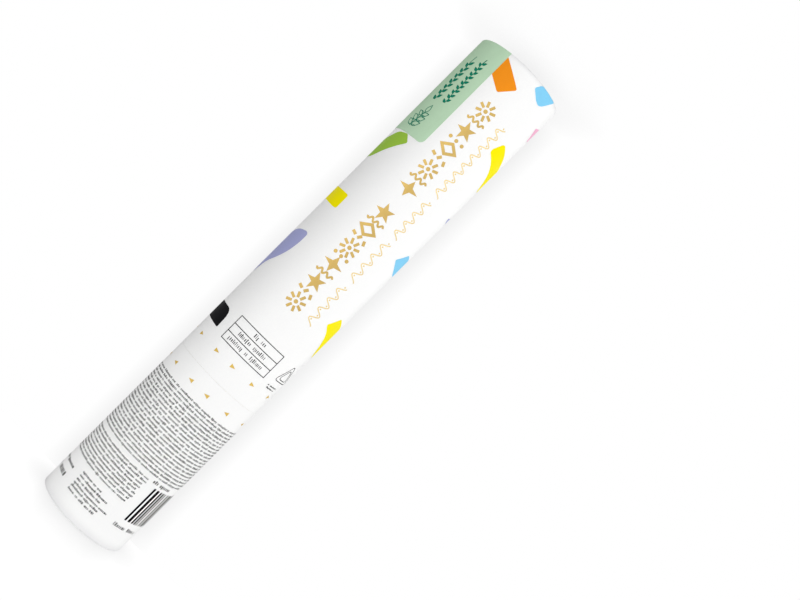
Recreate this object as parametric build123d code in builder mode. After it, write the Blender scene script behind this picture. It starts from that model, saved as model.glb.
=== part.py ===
"""Twist-fired confetti popper: a paper-wrapped board tube with a gas bottle below and tissue slips above.

The tube stands on its foot at z = 0 with the muzzle up, the handle below and the barrel above.
Twisting the barrel drives a steel pin down a helical cam into the bottle's foil.
The gas then lifts the wad and the slips out through the muzzle.
"""

import os
from math import asin, cos, degrees, dist, pi, sin, sqrt

from build123d import *

# Driving dimensions, in millimetres and degrees

# Tube and printed wrap
TUBE_LENGTH = 300.0
TUBE_DIAMETER = 50.0
TUBE_WALL = 2.5
HANDLE_LENGTH = 94.0
SEAM_GAP = 0.06
EDGE_ROUND = 0.6
LABEL_THICKNESS = 0.2
LABEL_JOIN_GAP = 0.4
LABEL_TURN_SPARE = 4.0

# Green sticker at the muzzle
STICKER_THICKNESS = 0.12
STICKER_LENGTH = 60.0
STICKER_WIDTH = 33.0
STICKER_CORNER = 2.8
STICKER_ANGLE = -150.7

# Fits that several pieces share
GLUE_GAP = 0.05
SEAT_GAP = 0.1
BEARING_GAP = 0.15
RUNNING_GAP = 0.3
CHARGE_GAP = 0.4
CUT_OVERRUN = 1.0

# Base plug
BASE_RECESS = 1.0
PLUG_FLOOR = 1.8
PLUG_HEIGHT = 12.0
PLUG_WALL = 1.5
PLUG_EDGE = 0.5
PLUG_FOOT_LAND = 7.2
PLUG_DIMPLE_DEPTH = 0.6
SOCKET_WALL = 1.4
SOCKET_HEIGHT = 7.0
RIB_WIDTH = 1.4
RIB_COUNT = 8

# Gas bottle and its mouth
BOTTLE_INSET = 7.2
BOTTLE_WALL = 1.1
BOTTLE_BASE = 2.2
BOTTLE_FOOT_ROUND = 3.0
BOTTLE_SHOULDER_ROUND = 4.0
BOTTLE_FOOT_LAND = 5.0
BOTTLE_PUNT_DEPTH = 0.9
PAD_THICKNESS = 2.5
NECK_SHARE = 0.43
NECK_HEIGHT = 12.4
LIP_SHARE = 0.5
LIP_HEIGHT = 1.8
MOUTH_SHARE = 0.27
FOIL_THICKNESS = 0.15
FERRULE_WALL = 0.5
FERRULE_LAND = 2.4
FERRULE_CURL = 0.7
GASKET_THICKNESS = 2.0
GASKET_SHARE = 0.67

# Cam sleeve in the handle
CAM_FLOOR = 3.0
CAM_SKIRT_HEIGHT = 16.0
CAM_SKIRT_WALL = 1.5
CAM_COLLAR_HEIGHT = 13.0
CAM_COLLAR_WALL = 1.5
CAM_WALL = 2.0
CAM_CROWN = 3.2
O_RING_SECTION = 1.4
O_RING_DROP = 1.6
O_RING_PROUD = 0.15

# Striker: carrier, piercing pin and its followers
TWIST_DEGREES = 90.0
STRIKER_TRAVEL = 6.0
STRIKER_STANDOFF = 1.6
STRIKER_MARGIN = 1.0
CARRIER_SETBACK = 2.65
CARRIER_HEIGHT = 8.0
CARRIER_RIM = 4.4
CARRIER_WEB = 3.0
CARRIER_EDGE = 0.5
HUB_DIAMETER = 10.0
HUB_DROP = 2.0
VENT_SHARE = 0.6
VENT_COUNT = 6
PIN_DIAMETER = 3.0
PIN_TIP_LENGTH = 5.0
PIN_POINT_DIAMETER = 0.4
PIN_HEAD_DIAMETER = 5.6
PIN_HEAD_HEIGHT = 1.2
FOLLOWER_DIAMETER = 3.0
FOLLOWER_EDGE = 0.3
FOLLOWER_COUNT = 2
SLOT_CLEARANCE = 0.15

# Standoff spring
SPRING_INSET = 3.4
SPRING_WIRE = 1.2
SPRING_TURNS = 5
ARCS_PER_TURN = 4
GAP_SAMPLES_PER_TURN = 120

# Guide sleeve in the barrel, and the ring that keeps it in the handle
FLANGE_THICKNESS = 3.5
GUIDE_WALL = 2.0
GUIDE_SHOULDER = 2.6
GUIDE_SPIGOT = 18.0
RING_WALL = 2.05
RING_EDGE = 0.4
DIFFUSER_THICKNESS = 1.5
PORT_DIAMETER = 5.0
PORT_CIRCLE_SHARE = 0.585
PORT_COUNT = 8

# Confetti charge
WAD_THICKNESS = 6.0
CARD_THICKNESS = 1.5
SLIP_WIDTH_SHARE = 0.458
PACK_GAP = 0.3
TIER_GAP = 0.4
TIER_TURN = 30.0
TIER_COUNT = 3
PACKS_PER_TIER = 4
CONFETTI_COLOURS = ("lilac", "yellow", "sky", "lime", "orange", "blush")

# Muzzle closure
MUZZLE_RECESS = 10.5
DISC_THICKNESS = 1.5
DISC_EDGE = 0.4
MUZZLE_PAPER_THICKNESS = 0.25
MUZZLE_PAPER_MARGIN = 0.8

# Worked-out radii

outer_radius = TUBE_DIAMETER / 2
label_inside = outer_radius - LABEL_THICKNESS
board_radius = label_inside - GLUE_GAP
bore_radius = board_radius - TUBE_WALL
glued_radius = bore_radius - GLUE_GAP
dimple_radius = glued_radius - PLUG_FOOT_LAND
bottle_radius = glued_radius - BOTTLE_INSET
punt_radius = bottle_radius - BOTTLE_FOOT_LAND
nest_radius = bottle_radius + BEARING_GAP
neck_radius = bottle_radius * NECK_SHARE
lip_radius = bottle_radius * LIP_SHARE
mouth_radius = bottle_radius * MOUTH_SHARE
gasket_radius = bottle_radius * GASKET_SHARE
ferrule_inner = lip_radius + GLUE_GAP
ferrule_radius = ferrule_inner + FERRULE_WALL
flange_radius = bore_radius - CHARGE_GAP
ring_bore = glued_radius - RING_WALL
guide_radius = ring_bore - BEARING_GAP
guide_bore = guide_radius - GUIDE_WALL
cam_radius = guide_bore - RUNNING_GAP
cam_bore = cam_radius - CAM_WALL
groove_radius = cam_radius + O_RING_PROUD - O_RING_SECTION
carrier_radius = cam_bore - RUNNING_GAP
carrier_hollow = carrier_radius - CARRIER_RIM
hub_radius = HUB_DIAMETER / 2
vent_circle = (hub_radius + carrier_hollow) / 2
vent_diameter = (carrier_hollow - hub_radius) * VENT_SHARE
pin_radius = PIN_DIAMETER / 2
pin_head_radius = PIN_HEAD_DIAMETER / 2
follower_radius = FOLLOWER_DIAMETER / 2
follower_reach = guide_radius - RUNNING_GAP
slot_half_width = follower_radius + SLOT_CLEARANCE
spring_radius = carrier_radius - SPRING_INSET
port_circle = glued_radius * PORT_CIRCLE_SHARE
charge_radius = bore_radius - CHARGE_GAP
disc_radius = bore_radius - BEARING_GAP

# Worked-out heights: the foot, then from the seam down to the bottle, whose height is what is left

pad_low = BASE_RECESS + PLUG_FLOOR
bottle_foot = pad_low + PAD_THICKNESS
ring_top = HANDLE_LENGTH - SEAM_GAP
barrel_low = HANDLE_LENGTH + SEAM_GAP
carrier_top = HANDLE_LENGTH - CARRIER_SETBACK
carrier_low = carrier_top - CARRIER_HEIGHT
carrier_middle = carrier_top - CARRIER_HEIGHT / 2
hub_low = carrier_low - HUB_DROP
ferrule_top = hub_low - STRIKER_MARGIN - STRIKER_TRAVEL
pin_tip = ferrule_top + STRIKER_STANDOFF
foil_top = ferrule_top - FERRULE_WALL
lip_top = foil_top - FOIL_THICKNESS
lip_low = lip_top - LIP_HEIGHT
curl_low = lip_low - FERRULE_CURL
bottle_shoulder = lip_top - NECK_HEIGHT
bottle_height = bottle_shoulder - bottle_foot
cam_floor_low = bottle_shoulder + GASKET_THICKNESS
cam_floor_top = cam_floor_low + CAM_FLOOR
cam_top = carrier_top + CAM_CROWN
o_ring_height = cam_top - O_RING_DROP
flange_low = cam_floor_top + RUNNING_GAP
flange_top = flange_low + FLANGE_THICKNESS
ring_low = flange_top + RUNNING_GAP
guide_top = barrel_low + GUIDE_SPIGOT
diffuser_top = guide_top + DIFFUSER_THICKNESS
wad_low = diffuser_top + SEAT_GAP
card_low = wad_low + WAD_THICKNESS + SEAT_GAP
confetti_low = card_low + CARD_THICKNESS + SEAT_GAP
disc_top = TUBE_LENGTH - MUZZLE_RECESS
disc_low = disc_top - DISC_THICKNESS

# Cam slot: the followers sink by the striker's travel over the twist

cam_mid_radius = cam_radius - CAM_WALL / 2
drop_per_degree = STRIKER_TRAVEL / TWIST_DEGREES
cam_lead = drop_per_degree * 360
slot_slope = cam_lead / (2 * pi * cam_bore)
slot_height = 2 * slot_half_width * sqrt(1 + slot_slope**2)
slot_end_angle = degrees(asin((slot_half_width + SLOT_CLEARANCE) / cam_bore))
slot_sweep = TWIST_DEGREES + 2 * slot_end_angle
slot_low = carrier_middle - STRIKER_TRAVEL - drop_per_degree * slot_end_angle

# Standoff spring, from the cam floor to the carrier

spring_low = cam_floor_top + SEAT_GAP + SPRING_WIRE / 2
spring_high = carrier_low - SEAT_GAP - SPRING_WIRE / 2
spring_pitch = (spring_high - spring_low) / SPRING_TURNS

# Confetti packs: two packs back to back across the bore, and one thinner pack on either side

slip_width = 2 * charge_radius * SLIP_WIDTH_SHARE
pack_edge = sqrt(charge_radius**2 - (slip_width / 2) ** 2)
middle_pack = pack_edge - PACK_GAP / 2
side_pack = pack_edge - slip_width / 2 - PACK_GAP
tier_height = (disc_low - confetti_low) / TIER_COUNT
slip_length = tier_height - TIER_GAP


# Shapes that several pieces share


def washer(hole, radius, low, height):
    """Adds a flat ring, or a disc where the hole is zero, to the piece being built."""
    with BuildSketch(Plane.XY.offset(low)) as ring:
        Circle(radius)
        if hole > 0:
            Circle(hole, mode=Mode.SUBTRACT)
    extrude(ring.sketch, amount=height)


def bore(radius, low, height):
    """Cuts a round hole on the axis of the piece being built."""
    with BuildSketch(Plane.XY.offset(low)) as hole:
        Circle(radius)
    extrude(hole.sketch, amount=height, mode=Mode.SUBTRACT)


def spokes(inner, outer, low, height):
    """Adds the ribs that join two round walls of a moulding."""
    with BuildSketch(Plane.XY.offset(low)) as ribs:
        with PolarLocations((inner + outer) / 2, RIB_COUNT):
            Rectangle(outer - inner, RIB_WIDTH)
    extrude(ribs.sketch, amount=height)


def ports(count, circle, diameter, low, height):
    """Cuts a ring of round holes through a plate, with the first half a step round."""
    with BuildSketch(Plane.XY.offset(low - CUT_OVERRUN)) as holes:
        with PolarLocations(circle, count, start_angle=180 / count):
            Circle(diameter / 2)
    extrude(holes.sketch, amount=height + 2 * CUT_OVERRUN, mode=Mode.SUBTRACT)


def outer_rim(piece, level):
    """Finds the widest round edge at the bottom (0) or the top (-1) of a piece."""
    rings = piece.edges().filter_by(GeomType.CIRCLE).group_by(Axis.Z)[level]
    return rings.sort_by(SortBy.RADIUS)[-1]


def radial_plane(angle, reach, height):
    """Gives the plane that faces outward at an angle round the tube, with its second axis up."""
    way = Vector(1, 0, 0).rotate(Axis.Z, angle)
    return Plane(origin=way * reach + Vector(0, 0, height), x_dir=way.rotate(Axis.Z, 90), z_dir=way)


def follower_angles():
    """Gives the angles of the follower pins at rest."""
    return [turn * 360 / FOLLOWER_COUNT for turn in range(FOLLOWER_COUNT)]


def wrap_section(inside, thickness, plain_end, round_end):
    """Draws the section of a paper wrap that turns over the rounded rim of its tube."""
    way = 1 if round_end > plain_end else -1
    outside = inside + thickness
    centre_radius = board_radius - EDGE_ROUND
    centre = (centre_radius, round_end - way * EDGE_ROUND)
    turn = degrees(asin(EDGE_ROUND / (outside - centre_radius))) - LABEL_TURN_SPARE
    with BuildLine() as outline:
        near = CenterArc(centre, inside - centre_radius, 0, way * turn)
        far = CenterArc(centre, outside - centre_radius, 0, way * turn)
        Line(near @ 1, far @ 1)
        Polyline(near @ 0, (inside, plain_end), (outside, plain_end), far @ 0)
    make_face(outline.edges())


def open_join(low, high):
    """Opens the butt joint of a paper wrap along its back."""
    with Locations((0, outer_radius, (low + high) / 2)):
        Box(LABEL_JOIN_GAP, TUBE_WALL, high - low + 2 * CUT_OVERRUN, mode=Mode.SUBTRACT)


# Handle: board tube, paper wrap and base plug

with BuildPart() as handle_tube:
    washer(bore_radius, board_radius, 0, HANDLE_LENGTH)
    fillet(outer_rim(handle_tube, 0), radius=EDGE_ROUND)

with BuildPart() as handle_label:
    with BuildSketch(Plane.XZ):
        wrap_section(label_inside, LABEL_THICKNESS, HANDLE_LENGTH, 0)
    revolve(axis=Axis.Z)
    open_join(0, HANDLE_LENGTH)

with BuildPart() as base_plug:
    washer(0, glued_radius, BASE_RECESS, PLUG_FLOOR)
    washer(glued_radius - PLUG_WALL, glued_radius, BASE_RECESS, PLUG_HEIGHT)
    washer(nest_radius, nest_radius + SOCKET_WALL, pad_low, SOCKET_HEIGHT)
    spokes(nest_radius + SOCKET_WALL / 2, glued_radius - PLUG_WALL / 2, pad_low, SOCKET_HEIGHT)
    fillet(outer_rim(base_plug, 0), radius=PLUG_EDGE)
    bore(dimple_radius, BASE_RECESS, PLUG_DIMPLE_DEPTH)

# Gas bottle, its pad and its sealed mouth

with BuildPart() as bottle_pad:
    washer(0, bottle_radius - BOTTLE_FOOT_ROUND, pad_low, PAD_THICKNESS)

with BuildPart() as gas_bottle:
    washer(0, bottle_radius, bottle_foot, bottle_height)
    fillet(outer_rim(gas_bottle, 0), radius=BOTTLE_FOOT_ROUND)
    fillet(outer_rim(gas_bottle, -1), radius=BOTTLE_SHOULDER_ROUND)
    washer(0, neck_radius, bottle_shoulder, NECK_HEIGHT)
    washer(0, lip_radius, lip_low, LIP_HEIGHT)
    bore(punt_radius, bottle_foot, BOTTLE_PUNT_DEPTH)
    cavity_low = bottle_foot + BOTTLE_BASE
    bore(bottle_radius - BOTTLE_WALL, cavity_low, bottle_shoulder - BOTTLE_SHOULDER_ROUND - cavity_low)
    bore(mouth_radius, cavity_low, lip_top - cavity_low)

with BuildPart() as foil_seal:
    washer(0, lip_radius, lip_top, FOIL_THICKNESS)

with BuildPart() as crimp_ferrule:
    washer(ferrule_radius - FERRULE_LAND, ferrule_radius, foil_top, FERRULE_WALL)
    washer(ferrule_inner, ferrule_radius, curl_low, ferrule_top - curl_low)
    washer(neck_radius + GLUE_GAP, ferrule_radius, curl_low, FERRULE_CURL - GLUE_GAP)
    fillet(outer_rim(crimp_ferrule, -1), radius=FERRULE_WALL / 2)

with BuildPart() as neck_gasket:
    washer(neck_radius + BEARING_GAP, gasket_radius, bottle_shoulder, GASKET_THICKNESS)

# Cam sleeve with its helical slots, and its O-ring

with BuildPart() as cam_slot:
    with BuildLine() as slot_path:
        Helix(cam_lead, drop_per_degree * slot_sweep, cam_mid_radius, lefthand=True)
    with BuildSketch(Plane(origin=slot_path.line @ 0, x_dir=(1, 0, 0), z_dir=(0, -1, 0))):
        Rectangle(CAM_WALL + 2 * CUT_OVERRUN, slot_height)
    sweep(path=slot_path.line, is_frenet=True)

with BuildPart() as cam_sleeve:
    skirt_low = cam_floor_low - CAM_SKIRT_HEIGHT
    skirt_middle = glued_radius - CAM_SKIRT_WALL / 2
    collar_low = cam_floor_low - CAM_COLLAR_HEIGHT
    collar_middle = nest_radius + CAM_COLLAR_WALL / 2
    washer(ferrule_radius + RUNNING_GAP, glued_radius, cam_floor_low, CAM_FLOOR)
    washer(glued_radius - CAM_SKIRT_WALL, glued_radius, skirt_low, CAM_SKIRT_HEIGHT)
    washer(nest_radius, nest_radius + CAM_COLLAR_WALL, collar_low, CAM_COLLAR_HEIGHT)
    spokes(collar_middle, skirt_middle, collar_low, CAM_COLLAR_HEIGHT)
    washer(cam_bore, cam_radius, cam_floor_top, cam_top - cam_floor_top)
    with BuildSketch(Plane.XY.offset(o_ring_height - O_RING_SECTION / 2)):
        Circle(cam_radius + CUT_OVERRUN)
        Circle(groove_radius, mode=Mode.SUBTRACT)
    extrude(amount=O_RING_SECTION, mode=Mode.SUBTRACT)
    for angle in follower_angles():
        with Locations(Location((0, 0, slot_low), (0, 0, angle + TWIST_DEGREES + slot_end_angle))):
            add(cam_slot.part, mode=Mode.SUBTRACT)

with BuildPart() as cam_o_ring:
    with BuildSketch(Plane.XZ):
        with Locations((groove_radius + O_RING_SECTION / 2, o_ring_height)):
            Circle(O_RING_SECTION / 2 - GLUE_GAP)
    revolve(axis=Axis.Z)

# Striker: carrier, piercing pin and followers

with BuildPart() as pin_carrier:
    web_low = carrier_middle - CARRIER_WEB / 2
    washer(carrier_hollow, carrier_radius, carrier_low, CARRIER_HEIGHT)
    fillet(pin_carrier.edges().filter_by(GeomType.CIRCLE), radius=CARRIER_EDGE)
    washer(hub_radius, carrier_hollow + CARRIER_EDGE, web_low, CARRIER_WEB)
    washer(pin_radius + GLUE_GAP, hub_radius, hub_low, carrier_top - hub_low)
    ports(VENT_COUNT, vent_circle, vent_diameter, web_low, CARRIER_WEB)
    for angle in follower_angles():
        with BuildSketch(radial_plane(angle, carrier_hollow - CUT_OVERRUN, carrier_middle)):
            Circle(follower_radius + GLUE_GAP)
        extrude(amount=CARRIER_RIM + 2 * CUT_OVERRUN, mode=Mode.SUBTRACT)

with BuildPart() as piercing_pin:
    with BuildSketch(Plane.XZ):
        with BuildLine():
            Polyline(
                (0, pin_tip),
                (PIN_POINT_DIAMETER / 2, pin_tip),
                (pin_radius, pin_tip + PIN_TIP_LENGTH),
                (pin_radius, carrier_top),
                (pin_head_radius, carrier_top),
                (pin_head_radius, carrier_top + PIN_HEAD_HEIGHT),
                (0, carrier_top + PIN_HEAD_HEIGHT),
                close=True,
            )
        make_face()
    revolve(axis=Axis.Z)

with BuildPart() as follower_pins:
    for angle in follower_angles():
        with BuildSketch(radial_plane(angle, carrier_hollow, carrier_middle)):
            Circle(follower_radius)
        extrude(amount=follower_reach - carrier_hollow)
    chamfer(follower_pins.edges().filter_by(GeomType.CIRCLE), length=FOLLOWER_EDGE)

# Standoff spring: one wire swept along pairs of arcs, a quarter turn to each pair


def coil_at(step):
    """Gives a point of the spring's centre line and the way it runs there."""
    angle = 2 * pi * step / ARCS_PER_TURN
    climb = spring_pitch / (2 * pi)
    point = Vector(spring_radius * cos(angle), spring_radius * sin(angle), spring_low + climb * angle)
    return point, Vector(-spring_radius * sin(angle), spring_radius * cos(angle), climb).normalized()


def arc_pair(step):
    """Adds the two arcs that carry the centre line smoothly from one step to the next."""
    start, start_way = coil_at(step)
    end, end_way = coil_at(step + 1)
    chord = end - start
    along = chord.dot(start_way + end_way)
    bend = 2 * (1 - start_way.dot(end_way))
    arm = (sqrt(along**2 + bend * chord.dot(chord)) - along) / bend
    middle = (start + end + (start_way - end_way) * arm) / 2
    TangentArc(start, middle, tangent=start_way)
    TangentArc(middle, end, tangent=chord - (start_way + end_way) * arm)


def least_self_gap(wire, thickness, samples):
    """Measures on points along a wire how near it comes to itself, from surface to surface."""
    points = [tuple(wire @ (index / samples)) for index in range(samples + 1)]
    skip = int(3 * thickness * samples / wire.length) + 1
    pairs = ((low, high) for low in range(samples + 1) for high in range(low + skip, samples + 1))
    return min(dist(points[low], points[high]) for low, high in pairs) - thickness


with BuildPart() as standoff_spring:
    with BuildLine() as coil:
        for step in range(SPRING_TURNS * ARCS_PER_TURN):
            arc_pair(step)
    coil_wire = coil.wire()
    with BuildSketch(Plane(origin=coil_wire @ 0, z_dir=coil_wire % 0)):
        Circle(SPRING_WIRE / 2)
    sweep(path=coil_wire)

spring_gap = least_self_gap(coil_wire, SPRING_WIRE, SPRING_TURNS * GAP_SAMPLES_PER_TURN)
print(f"standoff spring: least gap to itself {spring_gap:.2f} mm")

# Twist bearing: guide sleeve in the barrel, kept in the handle by a ring

with BuildPart() as guide_sleeve:
    washer(guide_bore, flange_radius, flange_low, FLANGE_THICKNESS)
    washer(guide_bore, guide_radius, flange_low, barrel_low - flange_low)
    washer(guide_bore, glued_radius, barrel_low, GUIDE_SHOULDER)
    washer(glued_radius - GUIDE_WALL, glued_radius, barrel_low, GUIDE_SPIGOT)
    slot_middle = carrier_middle - STRIKER_TRAVEL / 2
    for angle in follower_angles():
        with BuildSketch(radial_plane(angle, guide_bore - CUT_OVERRUN, slot_middle)):
            SlotCenterToCenter(STRIKER_TRAVEL, 2 * slot_half_width, rotation=90)
        extrude(amount=GUIDE_WALL + 2 * CUT_OVERRUN, mode=Mode.SUBTRACT)

with BuildPart() as retaining_ring:
    washer(ring_bore, glued_radius, ring_low, ring_top - ring_low)
    chamfer(outer_rim(retaining_ring, 0), length=RING_EDGE)

with BuildPart() as diffuser_plate:
    washer(0, glued_radius, guide_top, DIFFUSER_THICKNESS)
    ports(PORT_COUNT, port_circle, PORT_DIAMETER, guide_top, DIFFUSER_THICKNESS)
    ports(1, 0, PORT_DIAMETER, guide_top, DIFFUSER_THICKNESS)

# Barrel: board tube, paper wrap and green sticker

with BuildPart() as barrel_tube:
    washer(bore_radius, board_radius, barrel_low, TUBE_LENGTH - barrel_low)
    fillet(outer_rim(barrel_tube, -1), radius=EDGE_ROUND)

with BuildPart() as barrel_label:
    with BuildSketch(Plane.XZ):
        wrap_section(label_inside, LABEL_THICKNESS, barrel_low, TUBE_LENGTH)
    revolve(axis=Axis.Z)
    open_join(barrel_low, TUBE_LENGTH)

with BuildPart() as side_sticker:
    sticker_low = TUBE_LENGTH - STICKER_LENGTH
    sticker_arc = degrees(STICKER_WIDTH / outer_radius)
    corner_arc = degrees(STICKER_CORNER / outer_radius)
    sticker_start = STICKER_ANGLE - sticker_arc / 2
    corner_height = sticker_low + STICKER_CORNER
    with BuildSketch(Plane.XZ.rotated((0, 0, sticker_start))):
        wrap_section(outer_radius + GLUE_GAP, STICKER_THICKNESS, sticker_low, TUBE_LENGTH)
    revolve(axis=Axis.Z, revolution_arc=sticker_arc)
    for side in (-1, 1):
        corner_angle = STICKER_ANGLE + side * (sticker_arc / 2 - corner_arc)
        with BuildSketch(radial_plane(corner_angle, outer_radius - TUBE_WALL, corner_height)):
            with Locations((side * STICKER_CORNER, -STICKER_CORNER)):
                Rectangle(2 * STICKER_CORNER, 2 * STICKER_CORNER)
            Circle(STICKER_CORNER, mode=Mode.SUBTRACT)
        extrude(amount=2 * TUBE_WALL, mode=Mode.SUBTRACT)

# Charge: wad, card and tiers of tissue slip packs in six colours


def add_pack(number):
    """Adds one pack of slips in its tier, at its place round the axis."""
    tier, place = divmod(number, PACKS_PER_TIER)
    in_middle = place % 2 == 1
    thickness = middle_pack if in_middle else side_pack
    inner_face = PACK_GAP / 2 if in_middle else slip_width / 2 + PACK_GAP
    angle = place * 360 / PACKS_PER_TIER + tier * TIER_TURN
    across = Vector(1, 0, 0).rotate(Axis.Z, angle)
    with BuildSketch(Plane(origin=(0, 0, confetti_low + tier * tier_height), x_dir=across)) as slip:
        with Locations((inner_face + thickness / 2, 0)):
            Rectangle(thickness, slip_width)
    extrude(slip.sketch, amount=slip_length)


with BuildPart() as felt_wad:
    washer(0, charge_radius, wad_low, WAD_THICKNESS)

with BuildPart() as pusher_card:
    washer(0, charge_radius, card_low, CARD_THICKNESS)

confetti = {}
for order, colour in enumerate(CONFETTI_COLOURS):
    with BuildPart() as packs:
        for number in range(order, TIER_COUNT * PACKS_PER_TIER, len(CONFETTI_COLOURS)):
            add_pack(number)
    confetti[f"confetti_{colour}"] = packs

# Closure pressed into the muzzle

with BuildPart() as muzzle_disc:
    washer(0, disc_radius, disc_low, DISC_THICKNESS)
    chamfer(outer_rim(muzzle_disc, 0), length=DISC_EDGE)

with BuildPart() as muzzle_paper:
    washer(0, disc_radius - MUZZLE_PAPER_MARGIN, disc_top, MUZZLE_PAPER_THICKNESS)

# Every piece goes to its own file

PIECES = {
    "handle_tube": handle_tube,
    "handle_label": handle_label,
    "base_plug": base_plug,
    "bottle_pad": bottle_pad,
    "gas_bottle": gas_bottle,
    "foil_seal": foil_seal,
    "crimp_ferrule": crimp_ferrule,
    "neck_gasket": neck_gasket,
    "cam_sleeve": cam_sleeve,
    "cam_o_ring": cam_o_ring,
    "pin_carrier": pin_carrier,
    "piercing_pin": piercing_pin,
    "follower_pins": follower_pins,
    "standoff_spring": standoff_spring,
    "guide_sleeve": guide_sleeve,
    "retaining_ring": retaining_ring,
    "diffuser_plate": diffuser_plate,
    "barrel_tube": barrel_tube,
    "barrel_label": barrel_label,
    "side_sticker": side_sticker,
    "felt_wad": felt_wad,
    "pusher_card": pusher_card,
    **confetti,
    "muzzle_disc": muzzle_disc,
    "muzzle_paper": muzzle_paper,
}

os.makedirs("parts", exist_ok=True)
for name, piece in PIECES.items():
    piece.part.label = name
    export_step(piece.part, f"parts/{name}.step")
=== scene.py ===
"""Looks of the twist confetti popper: printed wrap, inks, sticker, tissue slips and the works inside."""

from math import atan2, ceil, cos, floor, pi, radians, sin, sqrt
from random import Random

import bmesh
import bpy
from mathutils import Matrix, Vector, noise


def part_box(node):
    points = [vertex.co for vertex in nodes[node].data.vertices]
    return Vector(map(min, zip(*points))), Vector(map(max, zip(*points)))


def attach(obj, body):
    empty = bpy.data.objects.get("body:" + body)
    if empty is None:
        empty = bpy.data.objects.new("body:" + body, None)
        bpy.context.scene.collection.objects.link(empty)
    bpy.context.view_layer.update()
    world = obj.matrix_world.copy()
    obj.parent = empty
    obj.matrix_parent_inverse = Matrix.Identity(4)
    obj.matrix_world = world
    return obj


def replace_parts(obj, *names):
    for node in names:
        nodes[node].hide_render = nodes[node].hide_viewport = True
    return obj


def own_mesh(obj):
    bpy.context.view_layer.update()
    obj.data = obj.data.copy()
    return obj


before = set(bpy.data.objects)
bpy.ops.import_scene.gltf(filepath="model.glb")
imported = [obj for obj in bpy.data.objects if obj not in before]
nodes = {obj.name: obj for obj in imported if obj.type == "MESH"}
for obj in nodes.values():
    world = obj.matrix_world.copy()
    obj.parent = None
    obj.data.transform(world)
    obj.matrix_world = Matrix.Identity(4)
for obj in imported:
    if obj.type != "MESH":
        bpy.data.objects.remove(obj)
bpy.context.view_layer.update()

# A millimetre in metres, and the wrap's sizes in millimetres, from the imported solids
MM = 0.001
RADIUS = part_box("handle_label")[1].x / MM
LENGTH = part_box("barrel_tube")[1].z / MM
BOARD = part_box("handle_tube")[1].x / MM

# The wrap's rounded rims
RIM = 0.6
RIM_OUT = RADIUS - BOARD + RIM
RIM_CUTS = 5
STEEPEST_LEAN = 0.97

# How print lies on the wrap
INK_LIFT = 0.03
STICKER_LIFT = 0.2
FACET = 1.0
FACET_SPARE = 1.2
LEAST_AREA = 1e-6
WELD_DIGITS = 4


# Materials


def screen(red, green, blue):
    """Turns a colour as a screen shows it, 0 to 255, into the linear one that shaders take."""
    parts = [c / 255 for c in (red, green, blue)]
    return tuple(c / 12.92 if c <= 0.04045 else ((c + 0.055) / 1.055) ** 2.4 for c in parts) + (1.0,)


def shade(colour, share):
    """Makes a colour lighter or darker by a share."""
    return tuple(min(1.0, c * share) for c in colour[:3]) + (1.0,)


def add_node(tree, kind, inputs=(), **settings):
    """Adds a node with its settings, and with values or links on its inputs."""
    node = tree.nodes.new(kind)
    for name, value in settings.items():
        setattr(node, name, value)
    for key, value in dict(inputs).items():
        if isinstance(value, bpy.types.NodeSocket):
            tree.links.new(value, node.inputs[key])
        else:
            node.inputs[key].default_value = value
    return node


def math_node(tree, way, first, second=0.0):
    return add_node(tree, "ShaderNodeMath", {0: first, 1: second}, operation=way).outputs[0]


def ranged(tree, value, start, stop, low, high, **settings):
    """Carries a value from one range onto another, and holds it at the ends."""
    inputs = {"Value": value, "From Min": start, "From Max": stop, "To Min": low, "To Max": high}
    return add_node(tree, "ShaderNodeMapRange", inputs, **settings).outputs[0]


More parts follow.
